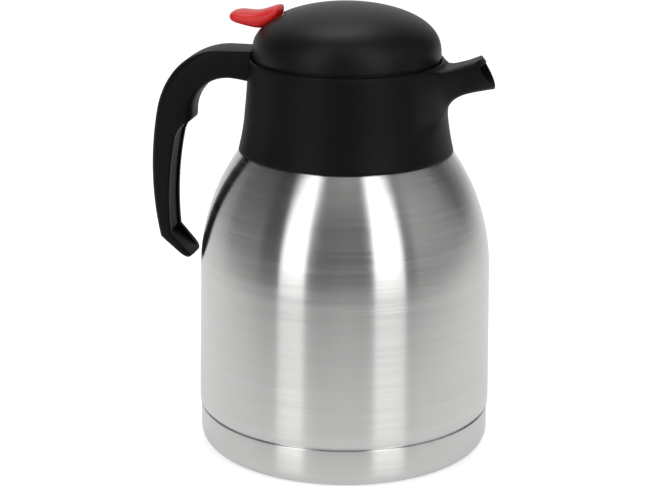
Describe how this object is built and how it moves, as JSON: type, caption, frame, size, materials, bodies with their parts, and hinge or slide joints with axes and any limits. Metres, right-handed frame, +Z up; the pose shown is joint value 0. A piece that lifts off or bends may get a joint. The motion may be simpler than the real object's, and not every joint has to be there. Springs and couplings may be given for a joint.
{
  "type": "thermal jug",
  "caption": "Double-walled steel thermal jug with a screw-in stopper under a dome, a thumb lever that lifts the pouring valve, a short beak spout and an open handle.",
  "frame": {"origin": "centre of the standing ring, on the surface that the jug rests on", "axes": "+Z up along the jug's axis, +X towards the spout, -X towards the handle"},
  "size_m": [0.1645, 0.1424, 0.217],
  "materials": {
    "brushed_steel": "stainless steel, brushed round the body",
    "inner_steel": "drawn stainless steel, satin",
    "black_plastic": "black moulded plastic with a fine even texture",
    "dome_plastic": "black moulded plastic, satin",
    "insert_plastic": "dark grey moulded plastic, matte",
    "inner_plastic": "black moulded plastic, plain",
    "red_plastic": "red moulded plastic, semi-gloss",
    "seal_silicone": "translucent grey silicone, matte",
    "fastener_steel": "stainless steel, bright"
  },
  "bodies": {
    "jug": {"outer_shell": "brushed_steel", "inner_neck": "inner_steel", "inner_flask": "inner_steel", "inner_bottom": "inner_steel", "outer_bottom": "inner_steel", "getter_capsule": "inner_steel", "base_cup": "brushed_steel", "collar": "black_plastic", "neck_gasket": "seal_silicone", "clamp_halves": "inner_plastic", "clamp_screws": "fastener_steel", "handle_shell": "black_plastic", "handle_insert": "insert_plastic", "handle_screws": "fastener_steel"},
    "seal_ring": {"neck_seal": "seal_silicone"},
    "lid": {"stopper_body": "inner_plastic", "bore_seal": "seal_silicone", "lid_dome": "dome_plastic", "lid_screws": "fastener_steel", "lever_bridge": "inner_plastic", "lever_pin": "fastener_steel"},
    "lever": {"thumb_lever": "red_plastic"},
    "valve": {"valve_stem": "inner_plastic", "valve_seal": "seal_silicone", "valve_retainer": "fastener_steel", "link_pin": "fastener_steel", "valve_spring": "fastener_steel"}
  },
  "joints": [
    {"name": "lid_rise", "type": "slide", "parent": "jug", "child": "seal_ring", "axis": [0, 0, 1], "range_m": [0, 0.0361]},
    {"name": "lid_turn", "type": "hinge", "parent": "seal_ring", "child": "lid", "pos_m": [0, 0, 0.19], "axis": [0, 0, 1], "range_deg": [0, 648]},
    {"name": "lever_press", "type": "hinge", "parent": "lid", "child": "lever", "pos_m": [-0.024, 0, 0.2005], "axis": [0, -1, 0], "range_deg": [0, 8], "stiffness_Nm_per_rad": 0.58, "springref_deg": -22.92},
    {"name": "valve_lift", "type": "slide", "parent": "lid", "child": "valve", "axis": [0, 0, 1], "range_m": [0, 0.0034], "deforming": ["valve_spring"]}
  ],
  "couplings": [
    {"joint": "lid_rise", "follows": "lid_turn", "m_per_rad": 0.0031831},
    {"joint": "valve_lift", "follows": "lever_press", "m_per_rad": 0.024}
  ]
}
